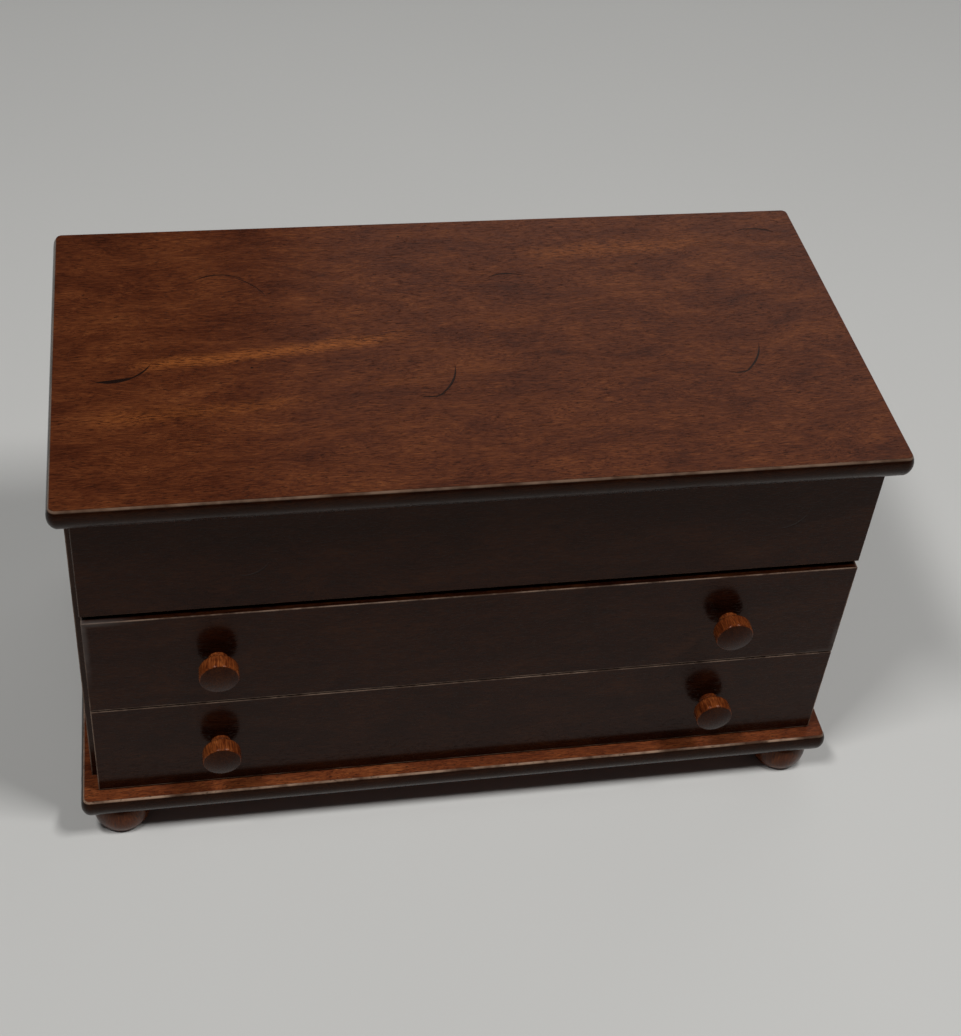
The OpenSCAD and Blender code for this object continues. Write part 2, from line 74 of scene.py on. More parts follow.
cam_data = bpy.data.cameras.new("camera")
cam_data.sensor_fit = "AUTO"
cam_data.sensor_width = SENSOR
cam_data.lens = FOCAL_PX / FRAME_H * SENSOR
cam_data.shift_y = VERTICAL_SHIFT
cam_data.clip_start = 0.01
cam = bpy.data.objects.new("camera", cam_data)
SCENE.collection.objects.link(cam)
cam.matrix_world = (
    Matrix.Translation((CAM_SIDE, CAM_BACK, TOP + CAM_ABOVE_LID))
    @ Matrix.Rotation(math.radians(-CAM_AZIMUTH), 4, "Z")
    @ Matrix.Rotation(math.radians(90 - CAM_ELEVATION), 4, "X")
    @ Matrix.Rotation(math.radians(CAM_ROLL), 4, "Z")
)
SCENE.camera = cam
SCENE.view_settings.view_transform = "Standard"


# ---------------------------------------------------------------- material graph helper
class Graph:
    """A material's node tree with short calls for the nodes that the materials share."""

    def __init__(self, name):
        self.mat = bpy.data.materials.new(name)
        self.mat.use_nodes = True
        self.tree = self.mat.node_tree
        self.tree.nodes.clear()
        self.out = self.tree.nodes.new("ShaderNodeOutputMaterial")
        self.bsdf = self.tree.nodes.new("ShaderNodeBsdfPrincipled")
        self.tree.links.new(self.bsdf.outputs[0], self.out.inputs[0])

    def put(self, socket, value):
        if isinstance(value, bpy.types.NodeSocket):
            self.tree.links.new(value, socket)
        elif value is not None:
            socket.default_value = value

    def node(self, kind, inputs=(), **props):
        n = self.tree.nodes.new("ShaderNode" + kind)
        for k, v in props.items():
            setattr(n, k, v)
        for k, v in dict(inputs).items():
            self.put(n.inputs[k], v)
        return n

    def set(self, **inputs):
        for k, v in inputs.items():
            self.put(self.bsdf.inputs[k.replace("_", " ")], v)

    def coords(self):
        return self.node("TexCoord").outputs["Object"]

    def math(self, op, a, b=None, c=None, clamp=False):
        return self.node("Math", {0: a, 1: b, 2: c}, operation=op, use_clamp=clamp).outputs[0]

    def vec(self, op, a, b=None, scale=None):
        n = self.node("VectorMath", {0: a, 1: b}, operation=op)
        if scale is not None:
            self.put(n.inputs["Scale"], scale)
        gives_number = op in ("DOT_PRODUCT", "LENGTH", "DISTANCE")
        return n.outputs["Value" if gives_number else "Vector"]

    def split(self, v):
        return self.node("SeparateXYZ", {0: v}).outputs

    def join(self, x, y, z):
        return self.node("CombineXYZ", {0: x, 1: y, 2: z}).outputs[0]

    def scaled(self, v, scale):
        return self.vec("MULTIPLY", v, scale)

    def noise(self, v, scale=1.0, detail=2.0, rough=0.5, distortion=0.0):
        inputs = {
            "Vector": v, "Scale": scale, "Detail": detail, "Roughness": rough, "Distortion": distortion,
        }
        return self.node("TexNoise", inputs).outputs["Fac"]

    def step(self, v, low, high, to_low=0.0, to_high=1.0):
        """Smooth step from to_low at low to to_high at high."""
        inputs = {"Value": v, "From Min": low, "From Max": high, "To Min": to_low, "To Max": to_high}
        return self.node("MapRange", inputs, interpolation_type="SMOOTHSTEP").outputs[0]

    def linear(self, v, low, high, to_low=0.0, to_high=1.0):
        inputs = {"Value": v, "From Min": low, "From Max": high, "To Min": to_low, "To Max": to_high}
        return self.node("MapRange", inputs).outputs[0]

    def mix(self, fac, a, b, blend="MIX"):
        n = self.node("Mix", data_type="RGBA", blend_type=blend, clamp_factor=True)
        for k, v in (("Factor_Float", fac), ("A_Color", a), ("B_Color", b)):
            socket = next(s for s in n.inputs if s.identifier == k)
            self.put(socket, (*v, 1.0) if isinstance(v, tuple) and len(v) == 3 else v)
        return next(s for s in n.outputs if s.identifier == "Result_Color")

    def ramp(self, fac, *stops):
        n = self.node("ValToRGB", {0: fac})
        e = n.color_ramp.elements
        while len(e) < len(stops):
            e.new(0.5)
        for el, (pos, col) in zip(e, stops):
            el.position, el.color = pos, (*col, 1.0)
        return n.outputs[0]

    def bump(self, height, strength, distance, normal=None):
        inputs = {"Height": height, "Strength": strength, "Distance": distance, "Normal": normal}
        return self.node("Bump", inputs).outputs[0]


def arris_distance(g, p, lo, hi):
    """Distance in millimetres from a point on a box's surface to the box's nearest arris."""
    a = g.vec("ABSOLUTE", g.vec("SUBTRACT", p, tuple(lo)))
    b = g.vec("ABSOLUTE", g.vec("SUBTRACT", p, tuple(hi)))
    d = g.split(g.vec("MINIMUM", a, b))
    biggest = g.math("MAXIMUM", g.math("MAXIMUM", d[0], d[1]), d[2])
    least = g.math("MINIMUM", g.math("MINIMUM", d[0], d[1]), d[2])
    total = g.math("ADD", g.math("ADD", d[0], d[1]), d[2])
    middle = g.math("SUBTRACT", g.math("SUBTRACT", total, biggest), least)
    return g.math("MULTIPLY", middle, 1 / MM)


def circle_through(a, b, c):
    """Centre and radius of the circle through three points in the plane."""
    d = 2 * (a.x * (b.y - c.y) + b.x * (c.y - a.y) + c.x * (a.y - b.y))
    s = [v.length_squared for v in (a, b, c)]
    x = (s[0] * (b.y - c.y) + s[1] * (c.y - a.y) + s[2] * (a.y - b.y)) / d
    y = (s[0] * (c.x - b.x) + s[1] * (a.x - c.x) + s[2] * (b.x - a.x)) / d
    centre = Vector((x, y))
    return centre, (a - centre).length


def stroke_mask(g, u, v, marks):
    """Mask of curved, tapering scratches: each is three points, in millimetres, and a width."""
    total = 0.0
    for a, b, c, width in marks:
        a, b, c = Vector(a), Vector(b), Vector(c)
        centre, radius = circle_through(a, b, c)
        mid = (b - centre).normalized()
        half = max((a - centre).angle(mid), (c - centre).angle(mid))
        x = g.math("SUBTRACT", u, centre.x)
        y = g.math("SUBTRACT", v, centre.y)
        far = g.vec("LENGTH", g.join(x, y, 0.0))
        towards_mid = g.math("ADD", g.math("MULTIPLY", x, mid.x), g.math("MULTIPLY", y, mid.y))
        along = g.math("DIVIDE", towards_mid, far)
        taper = g.linear(along, math.cos(half), 1.0, 0.0, width)
        off = g.math("ABSOLUTE", g.math("SUBTRACT", far, radius))
        inside = g.math("SUBTRACT", taper, off)
        total = g.math("MAXIMUM", g.step(inside, -0.08, 0.16), total)
    return total


# ---------------------------------------------------------------- wood
# Four colours of each wood, from the darkest fibres to the palest.
DARK = (
    (0.022, 0.0052, 0.0024), (0.060, 0.0145, 0.0055), (0.098, 0.026, 0.0085), (0.175, 0.054, 0.016),
)
KNOB = (
    (0.034, 0.0065, 0.002), (0.095, 0.020, 0.005), (0.18, 0.046, 0.011), (0.28, 0.084, 0.021),
)
PALE = (
    (0.17, 0.085, 0.036), (0.29, 0.165, 0.078), (0.38, 0.23, 0.115), (0.47, 0.31, 0.17),
)
COLOUR_STOPS = (0.22, 0.43, 0.58, 0.80)
STREAK_COLOUR = (0.27, 0.080, 0.018)
PORE_COLOUR = (0.010, 0.0028, 0.0016)
WORN_ARRIS_COLOUR = (0.27, 0.185, 0.135)
# Pale line below a board's top arris: painted highlight and wear.
ARRIS_HIGHLIGHT_AND_WEAR_COLOUR = (0.40, 0.26, 0.18)
WORN_CORNER_COLOUR = (0.085, 0.072, 0.066)
SPECK_COLOUR = (0.012, 0.005, 0.003)
SCRATCH_COLOUR = (0.006, 0.0035, 0.003)

# Tint of the varnish's reflection.
WARM = (1.0, 0.66, 0.50, 1.0)
RED_WARM = (1.0, 0.57, 0.43, 1.0)
CLEAR = (1.0, 1.0, 1.0, 1.0)

# Length along the grain and width across it of each layer's features, in millimetres.
BEND_SIZE = (60, 26)
FIGURE_SIZE = (48, 12)
MOTTLE_SIZE = (30, 17)
RIPPLE_SIZE = (9, 1.5)
FIBRE_SIZE = (5.5, 0.50)
PORE_SIZE = (3.4, 0.36)
SPECK_SIZE = (1.7, 0.55)
FIGURE_SHARE, MOTTLE_SHARE, RIPPLE_SHARE, FIBRE_SHARE = 0.44, 0.36, 0.26, 0.84
BEND, SWIRL = 14.0, 44.0
OFFSET_STEP = (37.0, 11.0, 5.0)


def grain_coords(g, p, along):
    """Coordinates in millimetres with the grain along the first axis."""
    s = g.split(g.vec("SCALE", p, scale=1 / MM))
    order = {"x": (0, 1, 2), "y": (1, 0, 2), "z": (2, 0, 1)}[along]
    return g.join(s[order[0]], s[order[1]], s[order[2]])


def grain_noise(g, q, size, **settings):
    """Noise whose features have the given length and width, in millimetres."""
    return g.noise(g.scaled(q, (1 / size[0], 1 / size[1], 1 / size[1])), **settings)


def add_streaks(g, p, s, fibre, up, streaks, colour):
    """Golden streaks on the top. Each is two ends in millimetres, a width and a strength."""
    for (x0, y0), (x1, y1), width, gain in streaks:
        t = g.linear(s[0], x0, x1)
        wander = g.noise(g.scaled(p, (28.0, 9.0, 9.0)), detail=3.0)
        line = g.linear(t, 0.0, 1.0, y0, y1)
        line = g.math("ADD", line, g.math("MULTIPLY", g.math("SUBTRACT", wander, 0.5), 14.0))
        off = g.math("ABSOLUTE", g.math("SUBTRACT", s[1], line))
        band = g.step(off, width, 0.0)
        ends = g.math("MULTIPLY", g.step(t, 0.0, 0.14), g.step(t, 1.0, 0.72))
        band = g.math("MULTIPLY", g.math("MULTIPLY", band, ends), g.step(fibre, 0.34, 0.62))
        band = g.math("MULTIPLY", band, g.step(up, 0.5, 0.9))
        colour = g.mix(g.math("MULTIPLY", band, gain), colour, STREAK_COLOUR)
    return colour


def add_arris_highlight_and_wear(g, p, s, arris_highlight_and_wear, rim_z, colour):
    """Pale line just below the arris of a board whose top is at rim_z: a painted highlight of the
    arris, with wear.
    """
    below = g.math("SUBTRACT", rim_z / MM, s[2])
    band = g.math("MULTIPLY", g.step(below, 0.05, 0.2), g.step(below, 1.3, 0.7))
    highlight_and_wear_patches = g.noise(g.vec("SCALE", p, scale=60.0), detail=3.0, rough=0.65)
    return g.mix(g.math("MULTIPLY", band, g.step(highlight_and_wear_patches, 0.35, 0.65, 0.15, arris_highlight_and_wear)), colour, ARRIS_HIGHLIGHT_AND_WEAR_COLOUR)


def add_worn_corners(g, p, edge, mottle, corners, colour):
    """Dull patches where an upright face's edges are rubbed. Each is a place (x, z) and a reach."""
    for place, reach in corners:
        flat = g.vec("MULTIPLY", p, (1.0, 0.0, 1.0))
        away = g.vec("DISTANCE", flat, (place[0] * MM, 0.0, place[1] * MM))
        rubbed = g.math("MULTIPLY", g.step(away, reach * MM, 0.0), g.step(edge, 3.0, 0.3))
        rubbed = g.math("MULTIPLY", rubbed, g.step(mottle, 0.3, 0.6, 0.4, 1.0))
        colour = g.mix(g.math("MULTIPLY", rubbed, 0.75), colour, WORN_CORNER_COLOUR)
    return colour


def wood(name, along="x", box=None, painted_light_scale=1.0, offset=0.0, colours=DARK, marks=(), face="xy",
         streaks=(), specks=0.0, gloss=0.22, level=0.19, wear=0.7, contrast=1.0, end_tone=0.4,
         upright_painted_shade=1.0, arris_highlight_and_wear=0.0, rim_z=0.0, corner_wear=(), coat=0.05, grit=0.25, tint=WARM):
    """Varnished or bare wood.

    along is the grain's axis, and offset picks another part of the same figure. painted_light_scale
    scales the colour of the whole piece: below 1 it is painted shade, above 1 painted light. end_tone
    darkens its end grain, and upright_painted_shade darkens its upright faces as painted shade. box
    is the piece's box, and wear the strength of the pale arrises along it. arris_highlight_and_wear
    is the strength of the pale line below the top arris at rim_z, a painted highlight with wear.
    """
    g = Graph(name)
    coords = g.node("TexCoord")
    p = coords.outputs["Object"]
    normal = g.split(coords.outputs["Normal"])
    end = g.math("ABSOLUTE", normal[{"x": 0, "y": 1, "z": 2}[along]])
    shaded_upright = g.step(g.math("ABSOLUTE", normal[2]), 0.92, 0.45)

    # The layers follow coordinates that wander off the straight grain.
    q = g.vec("ADD", grain_coords(g, p, along), tuple(offset * step for step in OFFSET_STEP))
    bend = g.math("SUBTRACT", grain_noise(g, q, BEND_SIZE, detail=2.0), 0.5)
    swirl = g.math("MULTIPLY", bend, SWIRL)
    cloudy = g.vec("ADD", q, g.join(0.0, swirl, swirl))
    bend = g.math("MULTIPLY", bend, BEND)
    q = g.vec("ADD", q, g.join(0.0, bend, bend))
    figure = grain_noise(g, cloudy, FIGURE_SIZE, detail=4.0, rough=0.6)
    mottle = grain_noise(g, cloudy, MOTTLE_SIZE, detail=3.0, rough=0.6)
    ripple = grain_noise(g, q, RIPPLE_SIZE, detail=3.0, rough=0.6)
    fibre = grain_noise(g, q, FIBRE_SIZE, detail=3.0, rough=0.75)
    pores = g.step(grain_noise(g, q, PORE_SIZE, detail=1.0, rough=0.5), 0.60, 0.67)
    layers = (
        (figure, FIGURE_SHARE), (mottle, MOTTLE_SHARE), (ripple, RIPPLE_SHARE), (fibre, FIBRE_SHARE),
    )
    fac = 0.5
    for layer, share in layers:
        centred = g.math("SUBTRACT", layer, 0.5)
        fac = g.math("ADD", g.math("MULTIPLY", centred, share * contrast), fac)
    colour = g.ramp(fac, *zip(COLOUR_STOPS, colours))
    s = g.split(g.vec("SCALE", p, scale=1 / MM))
    colour = add_streaks(g, p, s, fibre, normal[2], streaks, colour)
    colour = g.mix(g.math("MULTIPLY", pores, 0.72), colour, PORE_COLOUR)
    # Below 1 the whole-piece scale is painted shade and above 1 painted light; the end-grain darkening
    # is the stain's own.
    end_grain_and_painted_light = g.linear(g.step(end, 0.55, 0.95), 0.0, 1.0, painted_light_scale, painted_light_scale * end_tone)
    # Upright faces are darkened as painted shade.
    end_grain_and_painted_light = g.math("MULTIPLY", end_grain_and_painted_light, g.linear(shaded_upright, 0.0, 1.0, 1.0, upright_painted_shade))
    colour = g.vec("SCALE", colour, scale=end_grain_and_painted_light)
    rough = g.math("ADD", g.math("MULTIPLY", mottle, 0.16), gloss - 0.08)
    rough = g.math("ADD", rough, g.math("MULTIPLY", pores, 0.12))
    height = g.math("SUBTRACT", g.math("MULTIPLY", fibre, 0.35), pores)

    if box is not None:
        edge = arris_distance(g, p, *box)
        patchy = g.noise(g.vec("SCALE", p, scale=95.0), detail=3.0, rough=0.65)
        near = g.math("MULTIPLY", g.step(edge, 0.55, 0.2), g.step(patchy, 0.35, 0.62, 0.25, 1.0))
        colour = g.mix(g.math("MULTIPLY", near, wear), colour, WORN_ARRIS_COLOUR)
        rough = g.math("ADD", rough, g.math("MULTIPLY", near, 0.12))
        colour = add_worn_corners(g, p, edge, mottle, corner_wear, colour)
    # Pale line below the top arris, painted highlight and wear.
    if arris_highlight_and_wear:
        colour = add_arris_highlight_and_wear(g, p, s, arris_highlight_and_wear, rim_z, colour)
    if specks:
        dots = g.step(grain_noise(g, q, SPECK_SIZE, detail=1.0), 0.62, 0.72)
        colour = g.mix(g.math("MULTIPLY", dots, specks), colour, SPECK_COLOUR)
    if marks:
        u, v = {"xy": (s[0], s[1]), "xz": (s[0], s[2])}[face]
        outward = {"xy": normal[2], "xz": g.math("MULTIPLY", normal[1], -1.0)}[face]
        scratches = g.math("MULTIPLY", stroke_mask(g, u, v, marks), g.step(outward, 0.5, 0.9))
        colour = g.mix(g.math("MULTIPLY", scratches, 0.93), colour, SCRATCH_COLOUR)
        height = g.math("SUBTRACT", height, g.math("MULTIPLY", scratches, 2.5))

    bump = g.bump(height, grit, 0.00012)
    g.set(Base_Color=colour, Roughness=rough, Specular_IOR_Level=level, Normal=bump)
    g.set(Coat_Weight=coat, Coat_Roughness=0.14, Coat_IOR=1.4, Specular_Tint=tint)
    return g.mat


def dress(node, mat):
    o = NODES[node]
    o.data.materials.clear()
    o.data.materials.append(mat)
    return o


def ease(node, width=0.4, segments=3, angle=35):
    """Rounds the arrises of a CAD node with modifiers."""
    o = NODES[node]
    weld = o.modifiers.new("weld", "WELD")
    weld.merge_threshold = 0.00001
    flat = o.modifiers.new("planar", "DECIMATE")
    flat.decimate_type = "DISSOLVE"
    flat.angle_limit = math.radians(0.5)
    bevel = o.modifiers.new("bevel", "BEVEL")
    bevel.width = width * MM
    bevel.segments = segments
    bevel.limit_method = "ANGLE"
    bevel.angle_limit = math.radians(angle)
    bevel.harden_normals = True
    bevel.use_clamp_overlap = True
    return o


# Scratches on the lid's top (x, y) and the upper front panel (x, z), in millimetres.
LID_MARKS = (
    ((-151.5, -12.6), (-145.2, -12.5), (-137.0, -10.2), 1.15),
    ((-141.5, -12.0), (-135.2, -8.4), (-131.0, -2.6), 0.50),
    ((-110.5, 53.0), (-101.2, 56.1), (-89.0, 51.6), 0.42),
    ((-96.5, 54.9), (-87.7, 49.1), (-80.5, 37.5), 0.26),
    ((-23.5, -31.0), (-17.9, -31.9), (-12.0, -28.9), 0.42),
    ((-14.9, -30.6), (-9.7, -24.1), (-6.6, -11.5), 0.50),
    ((17.3, 46.3), (24.8, 48.8), (32.9, 47.2), 0.48),
    ((108.6, -25.6), (114.3, -26.5), (120.0, -23.6), 0.42),
    ((117.2, -25.4), (122.6, -19.3), (127.3, -7.2), 0.50),
    ((140.4, 74.7), (150.5, 75.8), (160.0, 72.0), 0.48),
    ((-19.0, 79.4), (-18.4, 79.7), (-17.8, 79.4), 0.55),
    ((-90.9, -8.4), (-90.3, -8.1), (-89.7, -8.4), 0.55),
)
PANEL_MARKS = (
    ((-99.0, 154.6), (-93.0, 156.0), (-88.5, 162.0), 0.45),
    ((122.5, 160.6), (130.0, 162.4), (134.5, 168.5), 0.45),
)
UPPER_DRAWER_WEAR = (
    ((-163.0, 133.0), 26.0), ((-163.0, 112.0), 22.0), ((163.0, 88.0), 18.0),
)
LID_STREAKS = (
    ((-142.0, -4.0), (-12.0, 8.5), 6.0, 0.85),
    ((30.0, 62.0), (140.0, 70.0), 9.0, 0.45),
    ((-160.0, -38.0), (-60.0, -30.0), 7.0, 0.40),
)

# The lid's upright faces are darkened to 0.16 as painted shade, and its pale line below the top arris
# is painted highlight and wear.
dress("lid_board", wood("lid_wood", marks=LID_MARKS, streaks=LID_STREAKS, offset=1.0,
                        upright_painted_shade=0.16, arris_highlight_and_wear=0.45, rim_z=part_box("lid_board")[1].z, level=0.14))
ease("lid_board", 0.8, angle=30)
# The base's whole colour is raised 1.6 times as painted light, its upright faces are darkened to 0.10
# as painted shade, and its pale line below the top arris is painted highlight and wear.
dress("base_board", wood("base_wood", offset=4.0, specks=0.7, painted_light_scale=1.6, upright_painted_shade=0.10, arris_highlight_and_wear=0.9,
                         rim_z=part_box("base_board")[1].z, level=0.14))
ease("base_board", 0.8, angle=30)
FRONTS = (
    ("upper_front_panel", dict(offset=2.0, marks=PANEL_MARKS, face="xz", wear=0.25)),
    ("upper_drawer_front", dict(offset=3.0, corner_wear=UPPER_DRAWER_WEAR)),
    ("lower_drawer_front", dict(offset=6.0)),
)
# The fronts' colour is scaled down to 0.20 as painted shade.
for n, own in FRONTS:
    dress(n, wood(n + "_wood", box=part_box(n), painted_light_scale=0.20, contrast=1.2, gloss=0.18, level=0.145,
                  tint=RED_WARM, coat=0.02, **own))
    ease(n)
# The side panels' colour is scaled down to 0.6 as painted shade.
for n, k in (("left_side_panel", 7.0), ("right_side_panel", 8.0)):
    dress(n, wood(n + "_wood", along="y", box=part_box(n), offset=k, painted_light_scale=0.6))
    ease(n)
# The back panel's colour is scaled down to 0.6 as painted shade.
dress("back_panel", wood("back_wood", box=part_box("back_panel"), offset=9.0, painted_light_scale=0.6))
dress("mirror_frame", wood("moulding_wood", offset=10.0))
for n in ("upper_left_knob", "upper_right_knob", "lower_left_knob", "lower_right_knob"):
    dress(n, wood(n + "_wood", along="y", colours=KNOB, offset=len(n), end_tone=0.2,
                  contrast=1.3, level=0.12, tint=RED_WARM))
for n in ("front_left_foot", "front_right_foot", "back_left_foot", "back_right_foot"):
    dress(n, wood(n + "_wood", along="z", offset=len(n) * 1.7))

# ---------------------------------------------------------------- inner wood, metal and glass
BARE = dict(colours=PALE, level=0.2, gloss=0.5, coat=0.0, grit=0.4, end_tone=0.7, tint=CLEAR)
SHELVES = ("compartment_floor", "dust_panel")
BOX_PARTS = (
    "left_side", "right_side", "back", "bottom", "left_divider", "right_divider", "divider",
)
for i, n in enumerate(SHELVES):
    dress(n, wood(n + "_wood", offset=11.0 + i, **BARE))
for d, drawer in enumerate(("upper_drawer", "lower_drawer")):
    for i, part in enumerate(BOX_PARTS):
        n = f"{drawer}_{part}"
        if n in NODES:
            along = "x" if part in ("back", "bottom") else "y"
            dress(n, wood(n + "_wood", along=along, offset=13.0 + 8 * d + i, contrast=0.8, **BARE))
            ease(n, 0.3)


def metal(name, colour, dull, rough, along=(1.0, 1.0, 1.0)):
    """Brushed metal that dulls in patches. along scales the brush marks on each axis."""
    g = Graph(name)
    p = g.coords()
    brushed = g.noise(g.scaled(p, tuple(900.0 * a for a in along)), detail=4.0, rough=0.7)
    stain = g.noise(g.vec("SCALE", p, scale=220.0), detail=4.0, rough=0.6)
    tint = g.mix(g.step(stain, 0.35, 0.72), colour, dull)
    polish = g.linear(brushed, 0.25, 0.75, rough - 0.08, rough + 0.14)
    g.set(Base_Color=tint, Metallic=1.0, Roughness=polish, Normal=g.bump(brushed, 0.12, 0.00003))
    return g.mat


BRASS = metal("brass", (0.80, 0.58, 0.26), (0.50, 0.33, 0.13), 0.30, (0.15, 1.0, 1.0))
STEEL = metal("steel", (0.60, 0.60, 0.61), (0.42, 0.41, 0.40), 0.32)
for side in ("left", "right"):
    for leaf in ("case", "lid"):
        n = f"{side}_hinge_{leaf}_leaf"
        dress(n, BRASS)
    dress(f"{side}_hinge_pin", STEEL)


def mirror_material():
    g = Graph("mirror_glass")
    p = g.coords()
    lo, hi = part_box("lid_mirror")
    edge = arris_distance(g, g.vec("MAXIMUM", g.vec("MINIMUM", p, tuple(hi)), tuple(lo)), lo, hi)
    haze = g.noise(g.vec("SCALE", p, scale=30.0), detail=4.0, rough=0.7)
    spots = g.step(g.noise(g.vec("SCALE", p, scale=420.0), detail=1.0), 0.70, 0.76)
    age = g.math("MULTIPLY", g.step(edge, 9.0, 0.0), g.step(haze, 0.4, 0.7))
    worn = g.math("MAXIMUM", age, g.math("MULTIPLY", spots, 0.3))
    tint = g.mix(worn, (0.83, 0.87, 0.88), (0.45, 0.46, 0.44))
    g.set(Base_Color=tint, Metallic=1.0, Roughness=g.linear(haze, 0.45, 0.8, 0.015, 0.06))
    return g.mat


dress("lid_mirror", mirror_material())
ease("lid_mirror", 0.4)
ease("mirror_frame", 1.2)
ease("back_panel", 0.3)


def new_object(name, bm, mat, body):
    mesh = bpy.data.meshes.new(name)
    bm.normal_update()
    bm.to_mesh(mesh)
    bm.free()
    o = bpy.data.objects.new(name, mesh)
    SCENE.collection.objects.link(o)
    mesh.materials.append(mat)
    for f in mesh.polygons:
        f.use_smooth = True
    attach(o, body)
    return o


def skin_rings(bm, rings):
    """Joins rings of points into one surface, closed at both ends."""
    made = [[bm.verts.new(p) for p in ring] for ring in rings]
    count = len(made[0])
    for a, b in zip(made, made[1:]):
        for i in range(count):
            j = (i + 1) % count
            bm.faces.new((a[i], a[j], b[j], b[i]))
    bm.faces.new(list(reversed(made[0])))
    bm.faces.new(made[-1])


def screw_rings(head_r, head_h, countersunk, shank_r, length, pitch):
    """Rings of one screw that points down -Z, with the top of its head at z = 0."""
    turns, head_steps, steps_per_pitch, taper_start = 40, 16, 5, 0.85
    depth = head_h * 0.75
    slot_w, slot_l = head_r * 0.17, head_r * 0.62
    rings = []

    def ring(r, z, shape):
        rings.append([shape(r, z, 2 * math.pi * i / turns) for i in range(turns)])

    def face(r, z, t):
        x, y = r * math.cos(t), r * math.sin(t)
        cross = min(max(abs(x) / slot_w, abs(y) / slot_l), max(abs(y) / slot_w, abs(x) / slot_l))
        drop = depth * min(1.0, max(0.0, (1.25 - cross) / 0.5))
        return Vector((x, y, z - drop))

    def plain(r, z, t):
        return Vector((r * math.cos(t), r * math.sin(t), z))

    def thread(r, z, t):
        saw = (z / pitch - t / (2 * math.pi)) % 1.0
        r = r * (0.72 + 0.28 * (1 - abs(2 * saw - 1)))
        return Vector((r * math.cos(t), r * math.sin(t), z))

    for i in range(1, head_steps + 1):
        ring(head_r * 0.94 * i / head_steps, 0.0, face)
    ring(head_r, -0.06 * head_r, plain)
    ring(head_r if not countersunk else head_r * 0.97, -0.16 * head_h, plain)
    if not countersunk:
        ring(head_r, -head_h, plain)
    ring(shank_r, -head_h, plain)
    steps = int((length - head_h) / (pitch / steps_per_pitch))
    for i in range(1, steps + 1):
        t = i / steps
        taper = 1.0 if t < taper_start else 1.0 - (t - taper_start) * 5.5
        ring(shank_r * taper, -head_h - (length - head_h) * t, thread)
    return rings


def screws(name, node, body, mat, slot, places, turn, *sizes):
    """Screws at the given places that stand for the node. sizes go to screw_rings, in millimetres."""
    bm = bmesh.new()
    for k, place in enumerate(places):
        m = Matrix.Translation(place) @ turn @ Matrix.Rotation(0.7 + 1.3 * k, 4, "Z")
        rings = [[m @ (p * MM) for p in ring] for ring in screw_rings(*sizes)]
        skin_rings(bm, rings)
    bmesh.ops.recalc_face_normals(bm, faces=bm.faces)
    o = new_object(name, bm, mat, body)
    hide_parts(node)
    return o


UPWARD = Matrix.Identity(4)
DOWNWARD = Matrix.Rotation(math.pi, 4, "X")
HEAD_BACKWARD = Matrix.Rotation(math.radians(-90), 4, "X")


lo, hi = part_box("hinge_case_screws")
HINGE_HEAD_R = 2.1
span = [lo.x + HINGE_HEAD_R * MM, hi.x - HINGE_HEAD_R * MM]
HINGE_HOLES = 0.020
screw_x = [span[0], span[0] + HINGE_HOLES, span[1] - HINGE_HOLES, span[1]]
screw_y = (lo.y + hi.y) / 2
screws("hinge_case_screw_set", "hinge_case_screws", "case", BRASS, "brass",
       [Vector((x, screw_y, hi.z)) for x in screw_x], UPWARD,
       HINGE_HEAD_R, 1.1, True, 1.1, (hi.z - lo.z) / MM, 0.8)
lo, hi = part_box("hinge_lid_screws")
screws("hinge_lid_screw_set", "hinge_lid_screws", "lid", BRASS, "brass",
       [Vector((x, screw_y, lo.z)) for x in screw_x], DOWNWARD,
       HINGE_HEAD_R, 1.1, True, 1.1, (hi.z - lo.z) / MM, 0.8)
lo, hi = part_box("base_screws")
BASE_HEAD_R = 3.6
places = [Vector((x, y, lo.z)) for x in (lo.x + BASE_HEAD_R * MM, hi.x - BASE_HEAD_R * MM)
          for y in (lo.y + BASE_HEAD_R * MM, hi.y - BASE_HEAD_R * MM)]
screws("base_screw_set", "base_screws", "case", STEEL, "steel", places, DOWNWARD,
       BASE_HEAD_R, 2.4, False, 1.8, (hi.z - lo.z) / MM, 1.3)
KNOB_HEAD_R = 3.2
for drawer in ("upper", "lower"):
    lo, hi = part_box(f"{drawer}_knob_screws")
    places = [Vector((x, hi.y, (lo.z + hi.z) / 2))
              for x in (lo.x + KNOB_HEAD_R * MM, hi.x - KNOB_HEAD_R * MM)]
    screws(f"{drawer}_knob_screw_set", f"{drawer}_knob_screws", f"{drawer}_drawer", STEEL, "steel",
           places, HEAD_BACKWARD, KNOB_HEAD_R, 2.0, False, 1.5, (hi.y - lo.y) / MM, 0.9)


